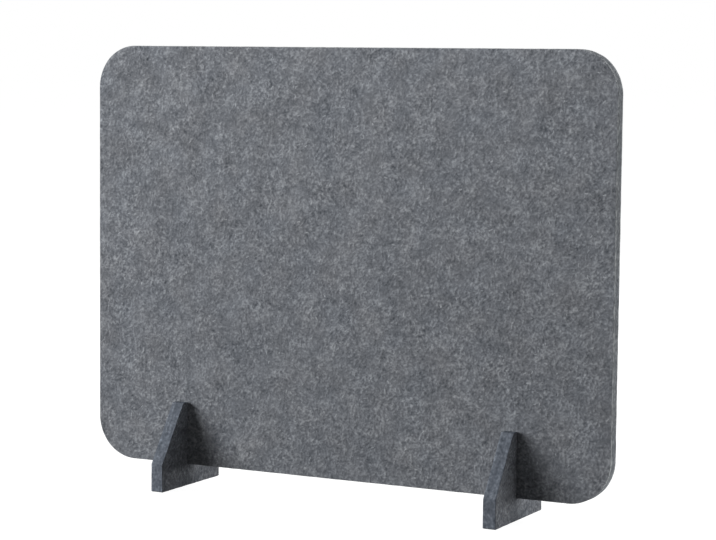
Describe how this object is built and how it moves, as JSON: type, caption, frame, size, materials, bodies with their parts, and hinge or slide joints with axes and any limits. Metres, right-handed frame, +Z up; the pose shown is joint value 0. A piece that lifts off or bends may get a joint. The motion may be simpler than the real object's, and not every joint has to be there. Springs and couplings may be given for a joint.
{
  "type": "desk divider screen",
  "caption": "Free-standing acoustic desk screen: a rounded pressed-felt panel standing in slotted feet of the same board.",
  "frame": {"origin": "on the desk surface, midway between the feet and under the middle of the panel's thickness", "axes": "+X along the panel's width, +Y through its thickness from front to back, +Z up"},
  "size_m": [0.6, 0.118, 0.473],
  "materials": {
    "panel_felt": "matte needle-punched felt, mottled grey",
    "foot_felt": "matte needle-punched felt, mottled grey, cut edges showing"
  },
  "bodies": {
    "left_foot": {"foot_left": "foot_felt"},
    "screen": {"panel": "panel_felt"},
    "right_foot": {"foot_right": "foot_felt"}
  },
  "joints": [
    {"name": "panel_lift", "type": "slide", "parent": "left_foot", "child": "screen", "axis": [0, 0, 1], "range_m": [0, 0.08]},
    {"name": "right_foot_release", "type": "slide", "parent": "screen", "child": "right_foot", "axis": [0, 0, -1], "range_m": [0, 0.08]}
  ],
  "couplings": [
    {"joint": "right_foot_release", "follows": "panel_lift", "ratio": 1}
  ]
}
